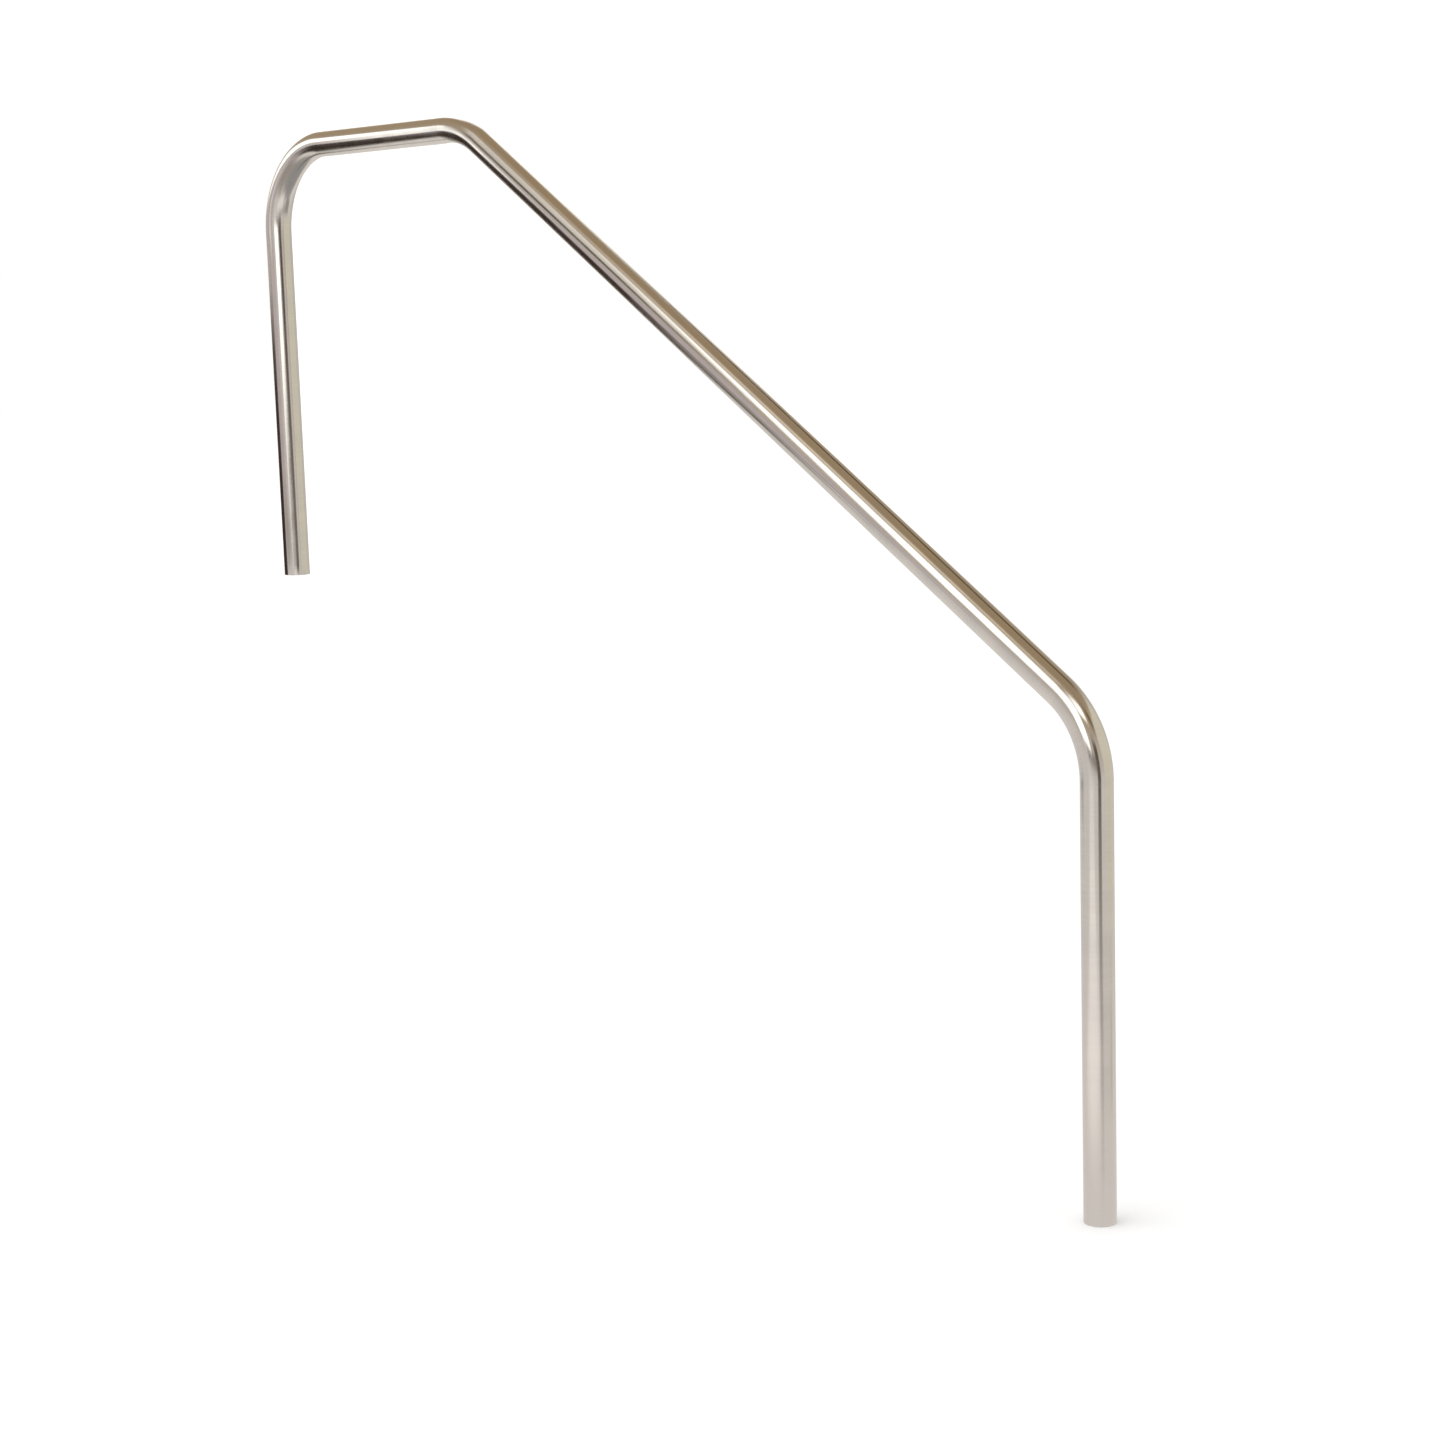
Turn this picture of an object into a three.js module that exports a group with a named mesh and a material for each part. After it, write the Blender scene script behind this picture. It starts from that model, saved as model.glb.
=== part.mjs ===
// Deck-to-pool handrail: one round stainless steel tube, bent three times in one plane.
//
// The deck leg stands in an anchor in the pool deck. The tube rises from it, turns level into a
// short top run, slopes down over the pool steps, and drops into an anchor in the step or floor
// below the water. The tube is open at both ends, and nothing on it moves.
//
// The real rail is a single length of tube. Here it is split where each bend meets a straight run,
// so that every solid is a plain straight or bent tube.
//
// Millimetres. +Z is up, +X points from the deck towards the pool, and the rail lies in the plane
// y = 0. The origin is the centre of the deck leg's lower end.

import * as THREE from 'three';

// Driving dimensions
const TUBE_OUTSIDE_DIAMETER = 48.26; // 1.90 in, the trade size that rail anchors take
const WALL_THICKNESS = 1.65; // 0.065 in
const BEND_RADIUS = 152.4; // 6 in, to the tube's centre line
const DECK_LEG_LENGTH = 635; // from its lower end to where the upper bend starts
const TOP_RUN_LENGTH = 344; // straight part only
const SLOPING_RUN_LENGTH = 1470; // straight part only
const SLOPE_ANGLE = 35; // degrees below level
const POOL_LEG_LENGTH = 649; // from where the lower bend ends to its lower end

// How finely the round shapes are divided
const SIDES_AROUND_TUBE = 32;
const DEGREES_PER_BEND_STEP = 5;
const GAP_BETWEEN_SOLIDS = 0.3; // where two stretches of the tube meet

// The stretches in order from the deck to the pool. A straight one has a length and a bent one an
// angle in degrees, always turning down towards the pool.
const STRETCHES = [
  { name: 'deck_leg', length: DECK_LEG_LENGTH },
  { name: 'upper_bend', angle: 90 },
  { name: 'top_run', length: TOP_RUN_LENGTH },
  { name: 'middle_bend', angle: SLOPE_ANGLE },
  { name: 'sloping_run', length: SLOPING_RUN_LENGTH },
  { name: 'lower_bend', angle: 90 - SLOPE_ANGLE },
  { name: 'pool_leg', length: POOL_LEG_LENGTH },
];

// Satin stainless steel
function satinSteel() {
  return new THREE.MeshStandardMaterial({ color: 0xb9b1a6, roughness: 0.32, metalness: 1 });
}

// The tube's cross-section, a ring whose corners lie on the true circles.
function tubeSection() {
  const outerRadius = TUBE_OUTSIDE_DIAMETER / 2;
  const innerRadius = outerRadius - WALL_THICKNESS;
  const circle = (radius) => Array.from({ length: SIDES_AROUND_TUBE }, (_, corner) => {
    const turn = (2 * Math.PI * corner) / SIDES_AROUND_TUBE;
    return new THREE.Vector2(radius * Math.cos(turn), radius * Math.sin(turn));
  });
  const section = new THREE.Shape(circle(outerRadius));
  section.holes.push(new THREE.Path(circle(innerRadius)));
  return section;
}

// The centre line of a bend. It starts at the local origin heading along +Z, and turns towards +X.
class BendCentreLine extends THREE.Curve {
  constructor(radius, angle) {
    super();
    this.radius = radius;
    this.angle = angle;
  }

  getPoint(t, target = new THREE.Vector3()) {
    const turned = this.angle * t;
    return target.set(this.radius * (1 - Math.cos(turned)), 0, this.radius * Math.sin(turned));
  }

  getTangent(t, target = new THREE.Vector3()) {
    const turned = this.angle * t;
    return target.set(Math.sin(turned), 0, Math.cos(turned));
  }
}

// A straight tube along local +Z. It stops short of a neighbour at each end that has one.
function straightTube(length, gapBelow, gapAbove) {
  const depth = length - gapBelow - gapAbove;
  const geometry = new THREE.ExtrudeGeometry(tubeSection(), { depth, bevelEnabled: false });
  return geometry.translate(0, 0, gapBelow);
}

function bentTube(angle) {
  return new THREE.ExtrudeGeometry(tubeSection(), {
    steps: Math.round(THREE.MathUtils.radToDeg(angle) / DEGREES_PER_BEND_STEP),
    extrudePath: new BendCentreLine(BEND_RADIUS, angle),
  });
}

// Each stretch sits in a group at the end of the one before it, turned to carry straight on.
function handrail() {
  const rail = new THREE.Group();
  let place = rail;
  STRETCHES.forEach((stretch, index) => {
    const next = new THREE.Group();
    let geometry;
    if (stretch.angle === undefined) {
      const gapBelow = index === 0 ? 0 : GAP_BETWEEN_SOLIDS;
      const gapAbove = index === STRETCHES.length - 1 ? 0 : GAP_BETWEEN_SOLIDS;
      geometry = straightTube(stretch.length, gapBelow, gapAbove);
      next.position.z = stretch.length;
    } else {
      const angle = THREE.MathUtils.degToRad(stretch.angle);
      const centreLine = new BendCentreLine(BEND_RADIUS, angle);
      geometry = bentTube(angle);
      next.position.copy(centreLine.getPoint(1));
      next.rotation.y = angle;
    }
    const mesh = new THREE.Mesh(geometry, satinSteel());
    mesh.name = stretch.name;
    place.add(mesh);
    place.add(next);
    place = next;
  });
  return rail;
}

export default handrail();
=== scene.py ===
"""A deck-to-pool handrail: one bent stainless steel tube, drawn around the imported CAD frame.

The CAD holds the tube as seven straight and bent stretches. One continuous tube stands for them
here, with the real wall, rounded cut ends, slightly oval bends and the weld bead inside the bore.
Metres, +Z up, +X from the deck towards the pool, the rail in the plane y = 0.
"""
import math

import bpy
from mathutils import Matrix, Vector


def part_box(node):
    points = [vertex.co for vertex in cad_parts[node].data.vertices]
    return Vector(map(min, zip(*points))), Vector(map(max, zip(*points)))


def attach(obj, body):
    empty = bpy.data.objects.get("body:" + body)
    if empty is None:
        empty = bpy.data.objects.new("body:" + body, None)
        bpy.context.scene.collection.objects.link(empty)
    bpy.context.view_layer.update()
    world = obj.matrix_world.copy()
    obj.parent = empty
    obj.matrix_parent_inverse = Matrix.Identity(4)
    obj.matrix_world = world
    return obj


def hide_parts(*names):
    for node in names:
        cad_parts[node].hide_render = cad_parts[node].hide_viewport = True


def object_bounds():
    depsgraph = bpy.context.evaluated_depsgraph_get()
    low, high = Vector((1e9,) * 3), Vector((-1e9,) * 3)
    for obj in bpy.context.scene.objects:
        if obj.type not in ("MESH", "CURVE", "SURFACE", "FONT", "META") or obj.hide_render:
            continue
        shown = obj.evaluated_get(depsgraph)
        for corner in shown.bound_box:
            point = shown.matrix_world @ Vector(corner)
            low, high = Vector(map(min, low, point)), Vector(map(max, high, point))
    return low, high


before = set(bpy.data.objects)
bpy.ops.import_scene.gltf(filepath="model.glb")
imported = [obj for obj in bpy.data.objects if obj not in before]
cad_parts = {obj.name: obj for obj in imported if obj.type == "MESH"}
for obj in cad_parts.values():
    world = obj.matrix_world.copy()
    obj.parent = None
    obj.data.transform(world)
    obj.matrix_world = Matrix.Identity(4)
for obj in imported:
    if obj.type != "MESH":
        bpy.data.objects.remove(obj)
cad_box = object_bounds()

# ---------------------------------------------------------------- the tube's sizes
WALL = 0.00165
EDGE_ROUNDING = 0.00045  # the deburred edges of the cut ends
BEND_OVALITY = 0.012  # how much flatter the tube is in the middle of a bend
OVALITY_EASE = 0.25  # share of a bend over which that comes and goes
WELD_BEAD_HEIGHT = 0.00035
WELD_BEAD_HALF_WIDTH = 0.0022
WELD_BEAD_ANGLE = math.radians(200)  # around the tube from the outside of the bends

SIDES = 120
STEPS_PER_EDGE = 4
STRAIGHT_STEP = 0.02
BEND_STEP = math.radians(1.5)
MATERIAL_ORDER = ("outside", "cut", "bore")

# ---------------------------------------------------------------- the finish
POLISH_ANISOTROPY = 0.6
GRIT_DEPTH = 0.000006
SAW_LINE_DEPTH = 0.00003
DRAWN_LINE_DEPTH = 0.00005
MATTE_FOOT_START = 0.46  # how far from the pool leg's end the polish starts to fade
MATTE_FOOT_FULL = 0.16

# ---------------------------------------------------------------- the room and the camera
ROOM_RADIUS = 14.0
FLOOR_REACH = 40.0
CAMERA_PLACE = (4.0217, -2.9521, 0.4471)
CAMERA_YAW = 44.55
CAMERA_PITCH = -8.72
CAMERA_ROLL = 1.72
CAMERA_LENS = 65


def middle(low, high):
    return (low + high) / 2


# ---------------------------------------------------------------- the centre line
class Station:
    """A place on the centre line: where it is, which way it heads and how far into a bend it is."""

    def __init__(self, place, heading, distance, in_bend):
        self.place = place
        self.heading = heading
        self.distance = distance
        self.in_bend = in_bend  # 0 on a straight run, 1 where a bend is most oval

    @property
    def along(self):
        return Vector((math.cos(self.heading), 0, math.sin(self.heading)))

    @property
    def outward(self):
        """In the rail's plane, towards the outside of its bends."""
        return Vector((-math.sin(self.heading), 0, math.cos(self.heading)))


def bend_share(fraction):
    """Rises from 0 at a bend's ends to 1 over its middle part."""
    ease = min(fraction, 1 - fraction) / OVALITY_EASE
    ease = min(ease, 1.0)
    return ease * ease * (3 - 2 * ease)


def centre_line():
    """The stations from the deck leg's end to the pool leg's end, worked out from the CAD boxes."""
    leg_low, leg_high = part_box("deck_leg")
    bend_low, bend_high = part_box("upper_bend")
    middle_low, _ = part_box("middle_bend")
    lower_low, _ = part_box("lower_bend")
    pool_low, pool_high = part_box("pool_leg")
    axis_x = middle(leg_low[0], leg_high[0])
    pool_x = middle(pool_low[0], pool_high[0])
    radius = bend_high[0] - axis_x
    top_z = bend_low[2] + radius
    slope_across = pool_x - middle_low[0] - radius
    slope_down = top_z - lower_low[2] - radius
    slope = math.atan2(slope_down, slope_across)
    stretches = [
        ("straight", bend_low[2] - leg_low[2]),
        ("bend", math.pi / 2),
        ("straight", middle_low[0] - bend_high[0]),
        ("bend", slope),
        ("straight", math.hypot(slope_across, slope_down)),
        ("bend", math.pi / 2 - slope),
        ("straight", lower_low[2] - pool_low[2]),
    ]
    place = Vector((axis_x, 0, leg_low[2]))
    heading = math.pi / 2
    distance = 0.0
    stations = [Station(place.copy(), heading, distance, 0.0)]
    for kind, amount in stretches:
        start = stations[-1]
        if kind == "straight":
            steps = max(1, round(amount / STRAIGHT_STEP))
            for step in range(1, steps + 1):
                gone = amount * step / steps
                here = start.place + start.along * gone
                stations.append(Station(here, start.heading, start.distance + gone, 0.0))
        else:
            steps = max(2, round(amount / BEND_STEP))
            hub = start.place - start.outward * radius
            for step in range(1, steps + 1):
                turned = amount * step / steps
                here = Station(hub, start.heading - turned, start.distance + radius * turned,
                               bend_share(step / steps))
                here.place = hub + here.outward * radius
                stations.append(here)
    return stations, radius


# ---------------------------------------------------------------- the tube's mesh
def ring_points(station, radius, inward, shift=0.0):
    """One ring of the tube. inward rings carry the weld bead. shift moves the ring along the tube."""
    points = []
    flat = 1 - BEND_OVALITY * station.in_bend
    wide = 1 + BEND_OVALITY * station.in_bend
    hub = station.place + station.along * shift
    for side in range(SIDES):
        angle = 2 * math.pi * side / SIDES
        reach = radius
        if inward:
            off = abs((angle - WELD_BEAD_ANGLE + math.pi) % (2 * math.pi) - math.pi) * radius
            if off < WELD_BEAD_HALF_WIDTH:
                reach -= WELD_BEAD_HEIGHT * math.cos(off / WELD_BEAD_HALF_WIDTH * math.pi / 2)
        offset = station.outward * (reach * flat * math.cos(angle))
        offset += Vector((0, reach * wide * math.sin(angle), 0))
        points.append((hub + offset, angle, reach))
    return points


def edge_profile(sign):
    """How a cut end's two rounded edges run, as (distance from the outside, distance from the end)."""
    steps = []
    for step in range(STEPS_PER_EDGE + 1):
        turn = math.pi / 2 * step / STEPS_PER_EDGE
        steps.append((EDGE_ROUNDING * (1 - math.cos(turn)), EDGE_ROUNDING * (1 - math.sin(turn))))
    inner = [(WALL - depth, back) for depth, back in reversed(steps)]
    profile = steps + inner
    return profile if sign > 0 else list(reversed(profile))


def surface_at(depth):
    """Which surface a ring at a cut end belongs to, from its depth below the outside."""
    if depth < EDGE_ROUNDING / 2:
        return "outside"
    if depth > WALL - EDGE_ROUNDING / 2:
        return "bore"
    return "cut"


def tube_rings(stations, outer_radius):
    """Every ring of the closed tube wall: outside, far cut end, bore back to the start, near end."""
    inner_radius = outer_radius - WALL
    rings = []
    for station in stations[1:-1]:
        rings.append((ring_points(station, outer_radius, False), station.distance, "outside"))
    last = stations[-1]
    for depth, back in edge_profile(1):
        ring = ring_points(last, outer_radius - depth, False, -back)
        rings.append((ring, last.distance - back, surface_at(depth)))
    for station in reversed(stations[1:-1]):
        rings.append((ring_points(station, inner_radius, True), station.distance, "bore"))
    first = stations[0]
    for depth, back in edge_profile(-1):
        ring = ring_points(first, outer_radius - depth, False, back)
        rings.append((ring, first.distance + back, surface_at(depth)))
    return rings


def build_tube(stations):
    low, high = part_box("deck_leg")
    outer_radius = (high[1] - low[1]) / 2
    rings = tube_rings(stations, outer_radius)
    mesh = bpy.data.meshes.new("rail_tube")
    vertices = [point for ring, _, _ in rings for point, _, _ in ring]
    faces = []
    kinds = []
    for index in range(len(rings)):
        following = (index + 1) % len(rings)
        here, there = rings[index][2], rings[following][2]
        kind = MATERIAL_ORDER.index(here if here == there else "cut")
        for side in range(SIDES):
            beside = (side + 1) % SIDES
            faces.append((
                index * SIDES + side,
                index * SIDES + beside,
                following * SIDES + beside,
                following * SIDES + side,
            ))
            kinds.append(kind)
    mesh.from_pydata(vertices, [], faces)
    mesh.polygons.foreach_set("material_index", kinds)
    mesh.polygons.foreach_set("use_smooth", [True] * len(faces))

    # Lengthwise runs along the tube and gives the polishing its direction. unbent is where each
    # point would be on the straight tube before it was bent, so that marks follow the bends.
    lengthwise = mesh.uv_layers.new(name="lengthwise")
    unbent = mesh.attributes.new("unbent", "FLOAT_VECTOR", "POINT")
    places = []
    for ring, distance, _ in rings:
        for _, angle, reach in ring:
            places.extend((distance, reach * math.cos(angle), reach * math.sin(angle)))
    unbent.data.foreach_set("vector", places)
    corners = []
    for index in range(len(rings)):
        following = (index + 1) % len(rings)
        for side in range(SIDES):
            start, end = side / SIDES, (side + 1) / SIDES
            here, there = rings[index][1], rings[following][1]
            corners.extend((here, start, here, end, there, end, there, start))
    lengthwise.data.foreach_set("uv", corners)
    mesh.validate()
    mesh.update()
    tube = bpy.data.objects.new("rail_tube", mesh)
    bpy.context.collection.objects.link(tube)
    return tube


# ---------------------------------------------------------------- shader helpers
def new_material(name):
    material = bpy.data.materials.new(name)
    material.use_nodes = True
    tree = material.node_tree
    tree.nodes.clear()
    return material, tree


def add_node(tree, kind, name, **settings):
    node = tree.nodes.new(kind)
    node.name = node.label = name
    for key, value in settings.items():
        setattr(node, key, value)
    return node


def plug(tree, target, value):
    """Sets a socket to a plain value, or links it to another node's socket."""
    if isinstance(value, bpy.types.NodeSocket):
        tree.links.new(value, target)
    else:
        target.default_value = value


def stretch(tree, name, vector, scale):
    node = add_node(tree, "ShaderNodeMapping", name)
    plug(tree, node.inputs["Vector"], vector)
    plug(tree, node.inputs["Scale"], scale)
    return node.outputs["Vector"]


def noise(tree, name, vector, detail=2.0, roughness=0.5):
    node = add_node(tree, "ShaderNodeTexNoise", name)
    plug(tree, node.inputs["Vector"], vector)
    plug(tree, node.inputs["Scale"], 1.0)
    plug(tree, node.inputs["Detail"], detail)
    plug(tree, node.inputs["Roughness"], roughness)
    return node.outputs["Fac"]


def remap(tree, name, value, from_low, from_high, to_low, to_high, smooth=False):
    node = add_node(tree, "ShaderNodeMapRange", name)
    node.interpolation_type = "SMOOTHSTEP" if smooth else "LINEAR"
    plug(tree, node.inputs["Value"], value)
    plug(tree, node.inputs["From Min"], from_low)
    plug(tree, node.inputs["From Max"], from_high)
    plug(tree, node.inputs["To Min"], to_low)
    plug(tree, node.inputs["To Max"], to_high)
    return node.outputs["Result"]


def arithmetic(tree, name, operation, first, second=0.0):
    node = add_node(tree, "ShaderNodeMath", name, operation=operation)
    plug(tree, node.inputs[0], first)
    plug(tree, node.inputs[1], second)
    return node.outputs["Value"]


def mix_colour(tree, name, factor, first, second):
    node = add_node(tree, "ShaderNodeMix", name, data_type="RGBA")
    plug(tree, node.inputs[0], factor)
    plug(tree, node.inputs[6], first)
    plug(tree, node.inputs[7], second)
    return node.outputs[2]


def unbent_place(tree):
    node = add_node(tree, "ShaderNodeAttribute", "unbent place")
    node.attribute_name = "unbent"
    return node.outputs["Vector"]


def metal_shader(tree, colour, roughness, bump_height, bump_distance, anisotropy):
    """Stainless steel whose highlights are drawn out along the tube by the polishing around it."""
    tangent = add_node(tree, "ShaderNodeTangent", "along the tube", direction_type="UV_MAP")
    tangent.uv_map = "lengthwise"
    bump = add_node(tree, "ShaderNodeBump", "grit relief")
    plug(tree, bump.inputs["Strength"], 1.0)
    plug(tree, bump.inputs["Distance"], bump_distance)
    plug(tree, bump.inputs["Height"], bump_height)
    shader = add_node(tree, "ShaderNodeBsdfPrincipled", "stainless steel")
    plug(tree, shader.inputs["Base Color"], colour)
    plug(tree, shader.inputs["Metallic"], 1.0)
    plug(tree, shader.inputs["Roughness"], roughness)
    plug(tree, shader.inputs["Anisotropic"], anisotropy)
    plug(tree, shader.inputs["Tangent"], tangent.outputs["Tangent"])
    plug(tree, shader.inputs["Normal"], bump.outputs["Normal"])
    output = add_node(tree, "ShaderNodeOutputMaterial", "surface")
    tree.links.new(shader.outputs["BSDF"], output.inputs["Surface"])


# ---------------------------------------------------------------- the tube's three finishes
def satin_steel(length):
    """The polished outside: fine rings of grit around the tube, faint wheel bands, matte foot."""
    material, tree = new_material("satin_stainless")
    place = unbent_place(tree)
    fine_grit = noise(tree, "fine grit rings", stretch(tree, "fine rings", place, (3200, 45, 45)))
    coarse_grit = noise(tree, "coarse grit rings", stretch(tree, "coarse rings", place, (420, 18, 18)))
    wheel_bands = noise(tree, "wheel bands", stretch(tree, "wheel overlap", place, (22, 9, 9)), 3.0)
    handling = noise(tree, "handling marks", stretch(tree, "handling", place, (9, 30, 30)), 4.0, 0.6)

    grit = arithmetic(tree, "grit", "ADD",
                      arithmetic(tree, "fine part", "MULTIPLY", fine_grit, 0.6),
                      arithmetic(tree, "coarse part", "MULTIPLY", coarse_grit, 0.4))
    distance = add_node(tree, "ShaderNodeSeparateXYZ", "distance along")
    plug(tree, distance.inputs["Vector"], place)
    foot = remap(tree, "matte foot", distance.outputs["X"],
                 length - MATTE_FOOT_START, length - MATTE_FOOT_FULL, 0.0, 1.0, True)

    roughness = remap(tree, "grit roughness", grit, 0.3, 0.7, 0.11, 0.17)
    roughness = arithmetic(tree, "with wheel bands", "ADD", roughness,
                           remap(tree, "band roughness", wheel_bands, 0.3, 0.7, -0.02, 0.04))
    roughness = arithmetic(tree, "with handling", "ADD", roughness,
                           remap(tree, "handling roughness", handling, 0.55, 0.75, 0.0, 0.05))
    roughness = arithmetic(tree, "with matte foot", "ADD", roughness,
                           arithmetic(tree, "foot roughness", "MULTIPLY", foot, 0.07))

    warm = (0.70, 0.672, 0.635, 1)
    cool = (0.655, 0.64, 0.618, 1)
    colour = mix_colour(tree, "tone", remap(tree, "tone share", wheel_bands, 0.35, 0.65, 0.0, 1.0),
                        warm, cool)
    colour = mix_colour(tree, "grit tone", remap(tree, "grit share", grit, 0.35, 0.65, 0.0, 0.35),
                        colour, (0.58, 0.555, 0.52, 1))
    colour = mix_colour(tree, "foot tone", arithmetic(tree, "foot share", "MULTIPLY", foot, 0.7),
                        colour, (0.72, 0.69, 0.66, 1))
    metal_shader(tree, colour, roughness, coarse_grit, GRIT_DEPTH, POLISH_ANISOTROPY)
    return material


def cut_steel():
    """The saw-cut ends: brighter, with fine parallel saw lines across the wall."""
    material, tree = new_material("saw_cut_end")
    place = unbent_place(tree)
    saw = noise(tree, "saw lines", stretch(tree, "across the cut", place, (200, 2600, 60)), 2.0)
    stain = noise(tree, "stain", stretch(tree, "stain size", place, (60, 90, 90)), 3.0)
    roughness = remap(tree, "saw roughness", saw, 0.3, 0.7, 0.26, 0.42)
    colour = mix_colour(tree, "cut tone", remap(tree, "stain share", stain, 0.4, 0.7, 0.0, 0.8),
                        (0.66, 0.645, 0.62, 1), (0.50, 0.47, 0.43, 1))
    metal_shader(tree, colour, roughness, saw, SAW_LINE_DEPTH, 0.0)
    return material


def bore_steel():
    """The mill finish inside, duller, with heat tint beside the weld bead."""
    material, tree = new_material("mill_bore")
    place = unbent_place(tree)
    apart = add_node(tree, "ShaderNodeSeparateXYZ", "place in the bore")
    plug(tree, apart.inputs["Vector"], place)
    angle = arithmetic(tree, "angle around", "ARCTAN2", apart.outputs["Z"], apart.outputs["Y"])
    off_bead = arithmetic(tree, "from the bead", "SUBTRACT", angle, WELD_BEAD_ANGLE - 2 * math.pi)
    off_bead = arithmetic(tree, "distance from bead", "ABSOLUTE", off_bead)
    tint = remap(tree, "heat tint", off_bead, 0.12, 0.45, 1.0, 0.0, True)
    draw_lines = noise(tree, "drawing lines", stretch(tree, "drawn along", place, (12, 900, 900)), 3.0)
    cloud = noise(tree, "pickling cloud", stretch(tree, "cloud size", place, (40, 60, 60)), 4.0)
    colour = mix_colour(tree, "mill tone", remap(tree, "cloud share", cloud, 0.35, 0.65, 0.0, 1.0),
                        (0.46, 0.445, 0.42, 1), (0.36, 0.345, 0.325, 1))
    colour = mix_colour(tree, "tinted", arithmetic(tree, "tint share", "MULTIPLY", tint, 0.6),
                        colour, (0.38, 0.27, 0.15, 1))
    roughness = remap(tree, "mill roughness", draw_lines, 0.3, 0.7, 0.38, 0.55)
    metal_shader(tree, colour, roughness, draw_lines, DRAWN_LINE_DEPTH, 0.0)
    return material


# ---------------------------------------------------------------- the studio
def only_in_reflections(thing):
    """A reflector or flag that the metal shows, but the camera and the floor don't see."""
    thing.visible_camera = False
    thing.visible_diffuse = False
    thing.visible_shadow = False
    thing.visible_transmission = False
    thing.visible_volume_scatter = False
    thing.visible_glossy = True


def towards(azimuth, elevation):
    """A direction. Azimuth 0 is +Y and 90 is +X; both angles are in degrees."""
    turn, lift = math.radians(azimuth), math.radians(elevation)
    return Vector((math.sin(turn) * math.cos(lift), math.cos(turn) * math.cos(lift), math.sin(lift)))


def studio_shell(centre, radius):
    """The room that the metal reflects: pale floor below, warm timber-coloured ceiling above."""
    bpy.ops.mesh.primitive_uv_sphere_add(segments=96, ring_count=48, radius=radius, location=centre)
    shell = bpy.context.object
    shell.name = "studio_shell"
    material, tree = new_material("studio_room")
    place = add_node(tree, "ShaderNodeTexCoord", "place in the room").outputs["Object"]
    apart = add_node(tree, "ShaderNodeSeparateXYZ", "height in the room")
    plug(tree, apart.inputs["Vector"], place)
    rise = remap(tree, "floor to ceiling", apart.outputs["Z"], -radius, radius, 0.0, 1.0)
    ramp = add_node(tree, "ShaderNodeValToRGB", "room tones")
    ramp.color_ramp.interpolation = "EASE"
    plug(tree, ramp.inputs["Fac"], rise)
    tones = [
        (-70, (0.38, 0.37, 0.36)),
        (-52, (0.44, 0.42, 0.41)),
        (-41, (0.92, 0.88, 0.83)),
        (-12, (0.80, 0.76, 0.73)),
        (14, (0.61, 0.55, 0.49)),
        (36, (0.47, 0.36, 0.24)),
        (75, (0.42, 0.31, 0.19)),
    ]
    stops = ramp.color_ramp.elements
    while len(stops) < len(tones):
        stops.new(0.5)
    for stop, (elevation, tone) in zip(stops, tones):
        stop.position = (math.sin(math.radians(elevation)) + 1) / 2
        stop.color = (*tone, 1)
    glow = add_node(tree, "ShaderNodeEmission", "room light")
    plug(tree, glow.inputs["Color"], ramp.outputs["Color"])
    plug(tree, glow.inputs["Strength"], 1.0)
    output = add_node(tree, "ShaderNodeOutputMaterial", "surface")
    tree.links.new(glow.outputs["Emission"], output.inputs["Surface"])
    shell.data.materials.append(material)
    only_in_reflections(shell)


def card(name, aim, azimuth, elevation, distance, size, tone, softness=0.2, tilt=0.0):
    """A flat reflector or flag facing the aim point, width and height as angles in degrees."""
    width = 2 * distance * math.tan(math.radians(size[0] / 2))
    height = 2 * distance * math.tan(math.radians(size[1] / 2))
    mesh = bpy.data.meshes.new(name)
    corners = [(-width / 2, 0, -height / 2), (width / 2, 0, -height / 2),
               (width / 2, 0, height / 2), (-width / 2, 0, height / 2)]
    mesh.from_pydata(corners, [], [(0, 1, 2, 3)])
    uv = mesh.uv_layers.new(name="across")
    uv.data.foreach_set("uv", (0, 0, 1, 0, 1, 1, 0, 1))
    panel = bpy.data.objects.new(name, mesh)
    bpy.context.collection.objects.link(panel)
    outward = towards(azimuth, elevation)
    turn = Matrix.Rotation(-math.radians(azimuth), 4, "Z")
    turn = turn @ Matrix.Rotation(math.radians(elevation), 4, "X")
    turn = turn @ Matrix.Rotation(math.radians(tilt), 4, "Y")
    panel.matrix_world = Matrix.Translation(aim + outward * distance) @ turn

    material, tree = new_material(name)
    apart = add_node(tree, "ShaderNodeSeparateXYZ", "place on the card")
    across = add_node(tree, "ShaderNodeUVMap", "across the card", uv_map="across")
    plug(tree, apart.inputs["Vector"], across.outputs["UV"])
    shares = []
    for axis in ("X", "Y"):
        off = arithmetic(tree, f"{axis} from the middle", "SUBTRACT", apart.outputs[axis], 0.5)
        off = arithmetic(tree, f"{axis} distance", "ABSOLUTE", off)
        shares.append(remap(tree, f"{axis} fade", off, 0.5 - softness / 2, 0.5, 1.0, 0.0, True))
    share = arithmetic(tree, "fade", "MULTIPLY", shares[0], shares[1])
    glow = add_node(tree, "ShaderNodeEmission", "card tone")
    plug(tree, glow.inputs["Color"], (*tone, 1))
    clear = add_node(tree, "ShaderNodeBsdfTransparent", "past the edge")
    blend = add_node(tree, "ShaderNodeMixShader", "soft edge")
    plug(tree, blend.inputs["Fac"], share)
    tree.links.new(clear.outputs["BSDF"], blend.inputs[1])
    tree.links.new(glow.outputs["Emission"], blend.inputs[2])
    output = add_node(tree, "ShaderNodeOutputMaterial", "surface")
    tree.links.new(blend.outputs["Shader"], output.inputs["Surface"])
    mesh.materials.append(material)
    only_in_reflections(panel)


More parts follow.
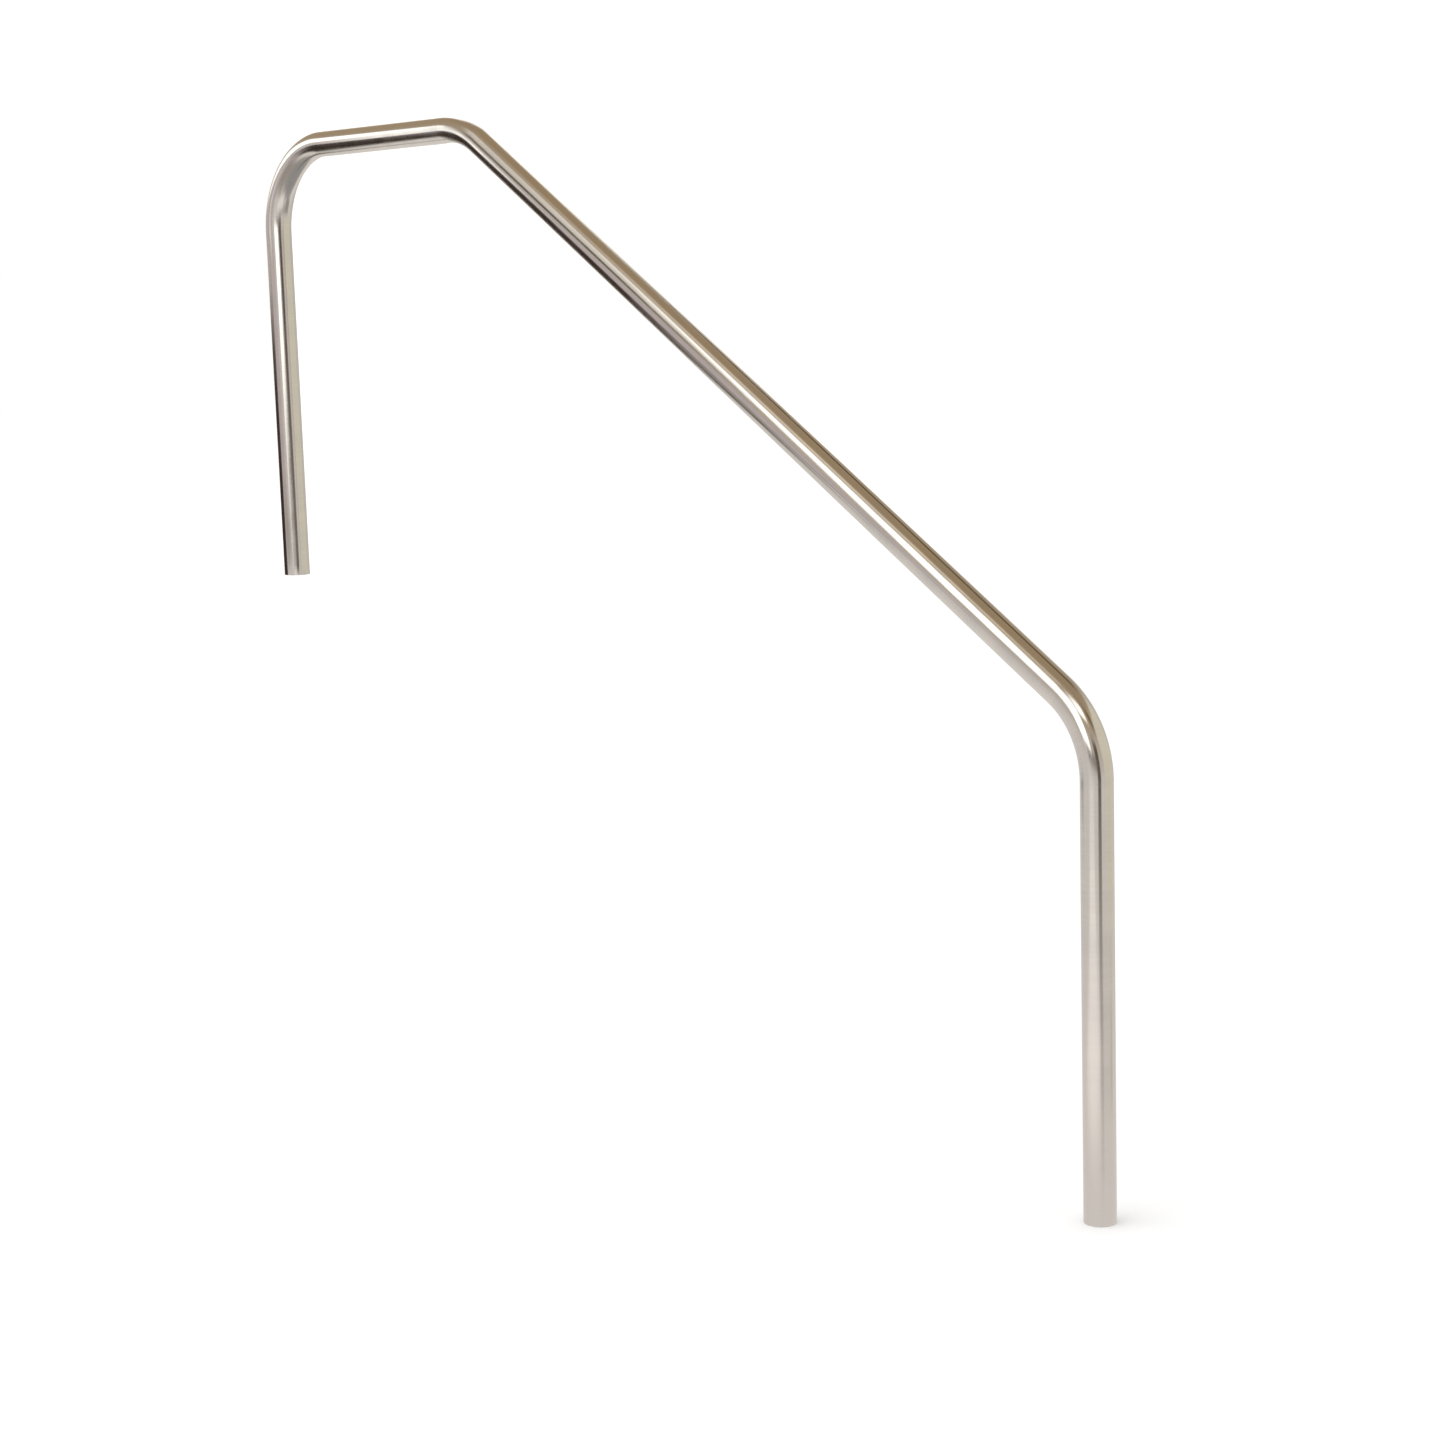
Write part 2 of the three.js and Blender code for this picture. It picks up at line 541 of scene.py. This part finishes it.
def floor_card(name, place, azimuth, size, tone, softness=0.2):
    """A level card centred on a place. Its second size, in metres, runs along the azimuth."""
    angles = [2 * math.degrees(math.atan(length / 2)) for length in size]
    card(name, place + Vector((0, 0, 1)), azimuth, -90, 1.0, angles, tone, softness)


def spot_in(node, across=0.5, up=0.5):
    """A point in the rail's plane, part of the way across and up a node's CAD box."""
    low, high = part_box(node)
    return Vector((low[0] + (high[0] - low[0]) * across, 0, low[2] + (high[2] - low[2]) * up))


def studio(box):
    """What the metal reflects. Each card faces the part of the rail that shows it in the photo."""
    centre = (Vector(box[0]) + Vector(box[1])) / 2
    studio_shell(centre, ROOM_RADIUS)
    top_run = spot_in("top_run")
    middle_bend = spot_in("middle_bend")
    upper_slope = spot_in("sloping_run", 0.17, 0.83)
    lower_slope = spot_in("sloping_run", 0.67, 0.34)
    lower_bend = spot_in("lower_bend", 0.5, 0.75)
    bend_foot = spot_in("lower_bend", 0.77, 0.4)
    deck_leg = spot_in("deck_leg")
    deck_foot = spot_in("deck_leg", 0.5, 0)
    pool_foot = spot_in("pool_leg", 0.5, 0)
    out_front = pool_foot + Vector((0.05, -2.0, -0.0005))
    near_deck = deck_foot + Vector((-0.38, -1.32, 0))

    # White paper and soft boxes
    card("backdrop_glow", centre, -48, 27, 8.0, (52, 84), (1.75, 1.73, 1.69), 0.35)
    card("backdrop_side", centre, -12, -2, 9.0, (44, 44), (0.70, 0.68, 0.64), 0.3)
    card("cream_panel", lower_bend, 48, 12, 6.5, (84, 64), (0.82, 0.77, 0.64), 0.25)
    card("front_softbox", deck_leg, 152, 17, 6.0, (36, 46), (2.2, 2.18, 2.12), 0.4)
    card("slope_softbox", lower_slope, -173, 34, 5.0, (30, 46), (2.2, 2.18, 2.12), 0.5)
    card("softbox_halo", lower_slope, 178, 64, 5.2, (44, 24), (0.95, 0.84, 0.68), 0.9)
    card("softbox_spill", centre, -155, 44, 6.5, (30, 34), (0.84, 0.78, 0.70), 0.6)
    card("side_softbox", lower_bend, 133, 45, 4.0, (34, 24), (2.0, 1.98, 1.9), 0.6)
    card("strip_light", top_run, -115, 13, 1.3, (50, 20), (1.9, 1.88, 1.83), 0.4, 12)
    card("strip_light_end", middle_bend, -128, 2, 1.2, (19, 18), (1.5, 1.48, 1.44), 0.5)
    floor_card("bright_floor", out_front, 0, (1.8, 3.6), (1.12, 1.06, 1.02), 0.3)
    floor_card("foot_floor", pool_foot - Vector((0, 0, 0.0015)), 0, (1.0, 1.0), (0.82, 0.78, 0.75), 0.3)

    # Dark flags and the darker parts of the room
    card("dark_floor", top_run, -106, -20, 2.8, (58, 34), (0.05, 0.035, 0.028), 0.3)
    floor_card("near_floor", near_deck, -142, (1.2, 2.4), (0.42, 0.38, 0.34), 0.5)
    card("left_wall", deck_leg, -150, 0, 3.0, (50, 34), (0.62, 0.54, 0.55), 0.5)
    card("low_wall", centre, 90, -38, 10.0, (120, 36), (0.40, 0.375, 0.35), 0.4)
    card("right_flag", deck_leg, 119, 0, 12.0, (24, 40), (0.10, 0.08, 0.06), 0.5)
    card("side_post", lower_bend, 90, 40, 5.5, (22, 30), (0.20, 0.15, 0.09), 0.8)
    card("ceiling_edge", lower_bend, -2, 56, 6.0, (42, 14), (0.12, 0.09, 0.055), 0.4)
    card("slope_line", upper_slope, -147, 20, 3.0, (24, 13), (0.09, 0.09, 0.085), 0.5)
    card("pool_line", bend_foot, 152, 2, 3.0, (70, 14), (0.27, 0.24, 0.22), 0.5)
    card("pool_flag", bend_foot, 124, 2, 3.0, (20, 30), (0.16, 0.125, 0.09), 0.8)


def pale_floor(height):
    mesh = bpy.data.meshes.new("pale_floor")
    signs = ((-1, -1), (1, -1), (1, 1), (-1, 1))
    corners = [(across * FLOOR_REACH, along * FLOOR_REACH, height) for across, along in signs]
    mesh.from_pydata(corners, [], [(0, 1, 2, 3)])
    floor = bpy.data.objects.new("pale_floor", mesh)
    bpy.context.collection.objects.link(floor)
    material, tree = new_material("pale_floor")
    shader = add_node(tree, "ShaderNodeBsdfPrincipled", "pale floor")
    plug(tree, shader.inputs["Base Color"], (0.93, 0.93, 0.925, 1))
    plug(tree, shader.inputs["Roughness"], 1.0)
    plug(tree, shader.inputs["Specular IOR Level"], 0.0)
    output = add_node(tree, "ShaderNodeOutputMaterial", "surface")
    tree.links.new(shader.outputs["BSDF"], output.inputs["Surface"])
    mesh.materials.append(material)
    floor.visible_glossy = False


def room_light():
    """White all round, and one very soft light overhead. The metal sees the studio shell instead."""
    scene = bpy.context.scene
    world = bpy.data.worlds.new("white_room")
    scene.world = world
    world.use_nodes = True
    sky = world.node_tree.nodes["Background"]
    sky.inputs["Color"].default_value = (1, 1, 1, 1)
    sky.inputs["Strength"].default_value = 1.0
    world.cycles_visibility.glossy = False
    lamp = bpy.data.lights.new("overhead_light", "SUN")
    lamp.energy = 0.6
    lamp.angle = math.radians(50)
    light = bpy.data.objects.new("overhead_light", lamp)
    light.rotation_euler = (math.radians(25), math.radians(-15), 0)
    light.visible_glossy = False
    light.visible_camera = False
    bpy.context.collection.objects.link(light)
    scene.view_settings.view_transform = "Standard"
    scene.view_settings.look = "None"


def place_camera():
    lens = bpy.data.cameras.new("camera")
    lens.lens = CAMERA_LENS
    lens.sensor_width = 36
    lens.clip_end = 200
    camera = bpy.data.objects.new("camera", lens)
    turn = Matrix.Rotation(math.radians(CAMERA_YAW), 4, "Z")
    turn = turn @ Matrix.Rotation(math.radians(CAMERA_PITCH), 4, "X")
    turn = turn @ Matrix.Rotation(math.radians(CAMERA_ROLL), 4, "Y")
    upright = Matrix.Rotation(math.radians(90), 4, "X")
    camera.matrix_world = Matrix.Translation(CAMERA_PLACE) @ turn @ upright
    bpy.context.collection.objects.link(camera)
    bpy.context.scene.camera = camera


# ---------------------------------------------------------------- the scene
place_camera()
stations, bend_radius = centre_line()
tube = build_tube(stations)
tube.data.materials.append(satin_steel(stations[-1].distance))
tube.data.materials.append(cut_steel())
tube.data.materials.append(bore_steel())
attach(tube, "root")
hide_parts("deck_leg", "upper_bend", "top_run", "middle_bend", "sloping_run",
            "lower_bend", "pool_leg")

studio(cad_box)
pale_floor(cad_box[0][2])
room_light()
